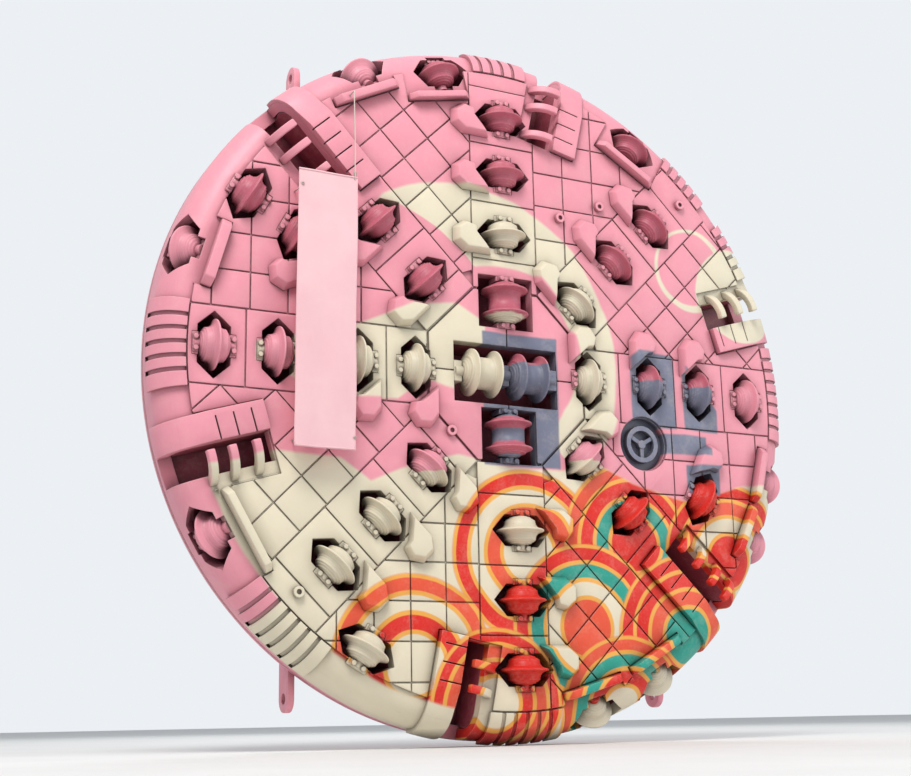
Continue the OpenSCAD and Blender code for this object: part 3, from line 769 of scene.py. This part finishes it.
def seam_bead(bm, run, side):
    """A low weld along a run of points, flat on its sides against the tiles."""
    rings = []
    for x, z in run:
        high = SEAM_HIGH + rng.uniform(-0.0025, 0.0025)
        low = high - 0.004
        row = []
        for across, up in ((-1, -0.0005), (-1, low), (-0.4, high), (0.4, high), (1, low), (1, -0.0005)):
            w = SEAM_HALF * 1.04 * across
            row.append(bm.verts.new((x + side[0] * w, PLATE_FACE - up, z + side[1] * w)))
        rings.append(row)
    for a, b in zip(rings, rings[1:]):
        for k in range(6):
            bm.faces.new((a[k], a[(k + 1) % 6], b[(k + 1) % 6], b[k]))
    bm.faces.new(rings[0][::-1])
    bm.faces.new(rings[-1])


def seam_beside(bm, a, b):
    """Welds along the tile's edge from a to b, if another tile lies beyond it."""
    length = math.hypot(b.x - a.x, b.z - a.z)
    if length < 0.05:
        return
    ux, uz = (b.x - a.x) / length, (b.z - a.z) / length
    nx, nz = -uz, ux
    if not on_plate((a.x + b.x) / 2 + nx * 0.003, (a.z + b.z) / 2 + nz * 0.003):
        nx, nz = -nx, -nz
    # each seam lies beside two tiles, and only one of them welds it
    if nx * 0.94 + nz * 0.34 < 0:
        return
    steps = max(2, int(length / SEAM_STEP))
    run = []
    for k in range(steps + 1):
        q = -SEAM_HALF + (length + 2 * SEAM_HALF) * k / steps
        x, z = a.x + ux * q + nx * SEAM_HALF, a.z + uz * q + nz * SEAM_HALF
        if on_plate(x, z):
            run.append((x, z))
            continue
        if len(run) > 1:
            seam_bead(bm, run, (nx, nz))
        run = []
    if len(run) > 1:
        seam_bead(bm, run, (nx, nz))


def weld_seams():
    src = clean_copy("wear_tiles")
    bm = bmesh.new()
    for f in src.faces:
        if f.normal.y < -0.9 and abs(f.calc_center_median().y - TILE_FACE) < 0.001:
            loop = [v.co for v in f.verts]
            for a, b in zip(loop, loop[1:] + loop[:1]):
                seam_beside(bm, a, b)
    src.free()
    bmesh.ops.recalc_face_normals(bm, faces=bm.faces)
    make("tile_welds", bm, M_WELD, angle=60)


weld_seams()

# Banner, its hems, rope and ties
BANNER_W, BANNER_H = 0.54, 2.42
BANNER_X, BANNER_TOP, BANNER_Y = -1.817, 1.582, -1.703
BANNER_LEAN = 0.025
# Front of the gauge bar that holds the rope
BAR_FRONT = -1.588


def banner_point(u, v, lift=0.0):
    """A point of the hanging cloth: u across from its middle, v down from its top."""
    share = v / BANNER_H
    fold = 0.0045 * math.sin(2 * math.pi * u / 0.31 + 0.9 * v + 0.6) * min(1.0, 0.25 + share)
    fold += 0.0030 * math.sin(2 * math.pi * v / 1.15 + 2.2 * u) + 0.0022 * math.sin(9.0 * u - 5.2 * v)
    curl = -0.018 * max(0.0, share - 0.93) / 0.07 * abs(u / 0.27) ** 3
    x = BANNER_X + u - BANNER_LEAN * share + 0.003 * math.sin(4.3 * v)
    return Vector((x, BANNER_Y + fold + curl - lift, BANNER_TOP - v))


def banner_cloth():
    bm = bmesh.new()
    nu, nv = 26, 112

    def row(j, lift):
        points = [banner_point(BANNER_W * (i / nu - 0.5), BANNER_H * j / nv, lift) for i in range(nu + 1)]
        return [bm.verts.new(p) for p in points]

    def layer(lift):
        return [row(j, lift) for j in range(nv + 1)]

    front, back = layer(0.0015), layer(-0.0015)
    for j in range(nv):
        for i in range(nu):
            bm.faces.new((front[j][i], front[j + 1][i], front[j + 1][i + 1], front[j][i + 1]))
            bm.faces.new((back[j][i], back[j][i + 1], back[j + 1][i + 1], back[j + 1][i]))
    rim = [(0, i) for i in range(nu)] + [(j, nu) for j in range(nv)]
    rim += [(nv, i) for i in range(nu, 0, -1)] + [(j, 0) for j in range(nv, 0, -1)]
    for (j, i), (l, k) in zip(rim, rim[1:] + rim[:1]):
        bm.faces.new((front[j][i], front[l][k], back[l][k], back[j][i]))
    bmesh.ops.recalc_face_normals(bm, faces=bm.faces)
    return make("banner_cloth", bm, M_CLOTH, replaces=("banner",), angle=50)


def banner_hem():
    bm = bmesh.new()
    for v, r in ((0.010, 0.0075), (BANNER_H - 0.010, 0.006)):
        tube(bm, [banner_point(BANNER_W * (i / 24 - 0.5) * 0.999, v, 0.001) for i in range(25)], r, 8)
    for u in (-0.264, 0.264):
        tube(bm, [banner_point(u, 0.012 + (BANNER_H - 0.024) * j / 60, 0.001) for j in range(61)], 0.0030, 6)
    return make("banner_hem", bm, M_CLOTH, angle=60)


def knot(bm, x, y, z, r, flat=1.0):
    """One turn of rope around a place."""
    turns = [k * math.pi / 5 for k in range(10)]
    tube(bm, [(x + r * math.cos(a), y, z + flat * r * math.sin(a)) for a in turns], 0.0040, 6, closed=True)


def banner_ropes():
    bm = bmesh.new()
    x, top, foot = -1.575, 2.395, BANNER_TOP + 0.03
    path = [(x, BANNER_Y, BANNER_TOP - 0.03), (x, BANNER_Y - 0.010, BANNER_TOP), (x, BANNER_Y - 0.004, foot)]
    climb = (top - foot - 0.015) / 12
    path += [(x + 0.004 * math.sin(5 * k / 12), BANNER_Y, foot + climb * k) for k in range(1, 13)]
    path += [(x, BANNER_Y + 0.006, top - 0.003), (x, BANNER_Y + 0.03, top), (x, BAR_FRONT + 0.004, top)]
    tube(bm, path, 0.0055, 8)
    for up, r in ((0.0, 0.012), (0.014, 0.013), (0.026, 0.011)):
        knot(bm, x, BANNER_Y - 0.004, BANNER_TOP + 0.012 + up, r, 0.5)
    for tx, tz in ((-2.052, 1.44), (-2.052, -0.75), (-1.578, -0.73)):
        tube(bm, [
            (tx, BANNER_Y - 0.009, tz), (tx + 0.002, -1.66, tz - 0.006), (tx, -1.60, tz - 0.010),
            (tx - 0.002, -1.54, tz - 0.005), (tx, TILE_FACE + 0.004, tz)
        ], 0.0050, 8)
        knot(bm, tx, BANNER_Y - 0.007, tz, 0.010)
    bmesh.ops.recalc_face_normals(bm, faces=bm.faces)
    return make("banner_ropes", bm, M_ROPE, angle=60)


cloth = banner_cloth()
hem = banner_hem()
ropes = banner_ropes()

# Camera, floor and light


def camera():
    """The photograph's view: its direction, focal length in pixels of the frame, and place."""
    yaw, pitch, roll = math.radians(26.857), math.radians(13.729), math.radians(-1.0928)
    frame_w, focal = 911, 1356.88
    f = Vector((math.sin(yaw) * math.cos(pitch), math.cos(yaw) * math.cos(pitch), math.sin(pitch)))
    r = Vector((math.cos(yaw), -math.sin(yaw), 0))
    u = r.cross(f)
    r2 = math.cos(roll) * r + math.sin(roll) * u
    u2 = -math.sin(roll) * r + math.cos(roll) * u
    cam = bpy.data.objects.new("camera", bpy.data.cameras.new("camera"))
    cam.data.sensor_width = 36.0
    cam.data.lens = focal / frame_w * cam.data.sensor_width
    cam.data.clip_end = 400
    m = Matrix((r2, u2, -f)).transposed().to_4x4()
    m.translation = Vector((-1.81054 * R, -3.24565 * R - 1.5, -0.94017 * R))
    cam.matrix_world = m
    scene.collection.objects.link(cam)
    scene.camera = cam


def floor_material():
    mat = bpy.data.materials.new("floor")
    mat.use_nodes = True
    t = Tree(mat.node_tree)
    bsdf = mat.node_tree.nodes["Principled BSDF"]
    tc = t.new("ShaderNodeTexCoord")
    n = t.noise(0.8, 4.0, 0.6, tc.outputs["Object"])
    t.put(bsdf.inputs["Base Color"], t.mix(n, srgb(222, 222, 220), srgb(236, 236, 234)))
    bsdf.inputs["Roughness"].default_value = 0.8
    return mat


def add_floor():
    low = CAD_BOX[0][2] - 0.004
    me = bpy.data.meshes.new("floor")
    s = 60
    me.from_pydata([(-s, -s, low), (s, -s, low), (s, s, low), (-s, s, low)], [], [(0, 1, 2, 3)])
    ob = bpy.data.objects.new("floor", me)
    me.materials.append(floor_material())
    scene.collection.objects.link(ob)


def add_light():
    world = bpy.data.worlds.new("world")
    scene.world = world
    world.use_nodes = True
    t = Tree(world.node_tree)
    world.node_tree.nodes.clear()
    out = t.new("ShaderNodeOutputWorld")
    bg = t.new("ShaderNodeBackground")
    bg.inputs[0].default_value = srgb(226, 232, 240)
    bg.inputs[1].default_value = 0.55
    show = t.new("ShaderNodeBackground")
    show.inputs[0].default_value = srgb(236, 240, 244)
    show.inputs[1].default_value = 1.0
    lp = t.new("ShaderNodeLightPath")
    mx = t.new("ShaderNodeMixShader")
    seen = t.math("MAXIMUM", lp.outputs["Is Glossy Ray"], lp.outputs["Is Transmission Ray"])
    seen = t.math("MAXIMUM", lp.outputs["Is Camera Ray"], seen)
    t.put(mx.inputs[0], seen)
    t.put(mx.inputs[1], bg.outputs[0])
    t.put(mx.inputs[2], show.outputs[0])
    t.put(out.inputs[0], mx.outputs[0])

    def area(name, at, to, size, power, colour=(1, 1, 1)):
        lamp = bpy.data.lights.new(name, "AREA")
        lamp.shape = "RECTANGLE"
        lamp.size, lamp.size_y = size
        lamp.energy = power
        lamp.color = colour
        ob = bpy.data.objects.new(name, lamp)
        ob.location = at
        ob.rotation_euler = (Vector(to) - Vector(at)).to_track_quat("-Z", "Y").to_euler()
        scene.collection.objects.link(ob)

    area("key", (-7.0, -11.0, 14.0), (0, -1, 0), (7, 7), 2600, (1.0, 0.985, 0.96))
    area("fill", (13.0, -12.0, 4.0), (0, -1, 0), (9, 9), 700)
    area("back", (6.0, 12.0, 9.0), (0, 0, 0), (9, 6), 900)


camera()
add_floor()
add_light()
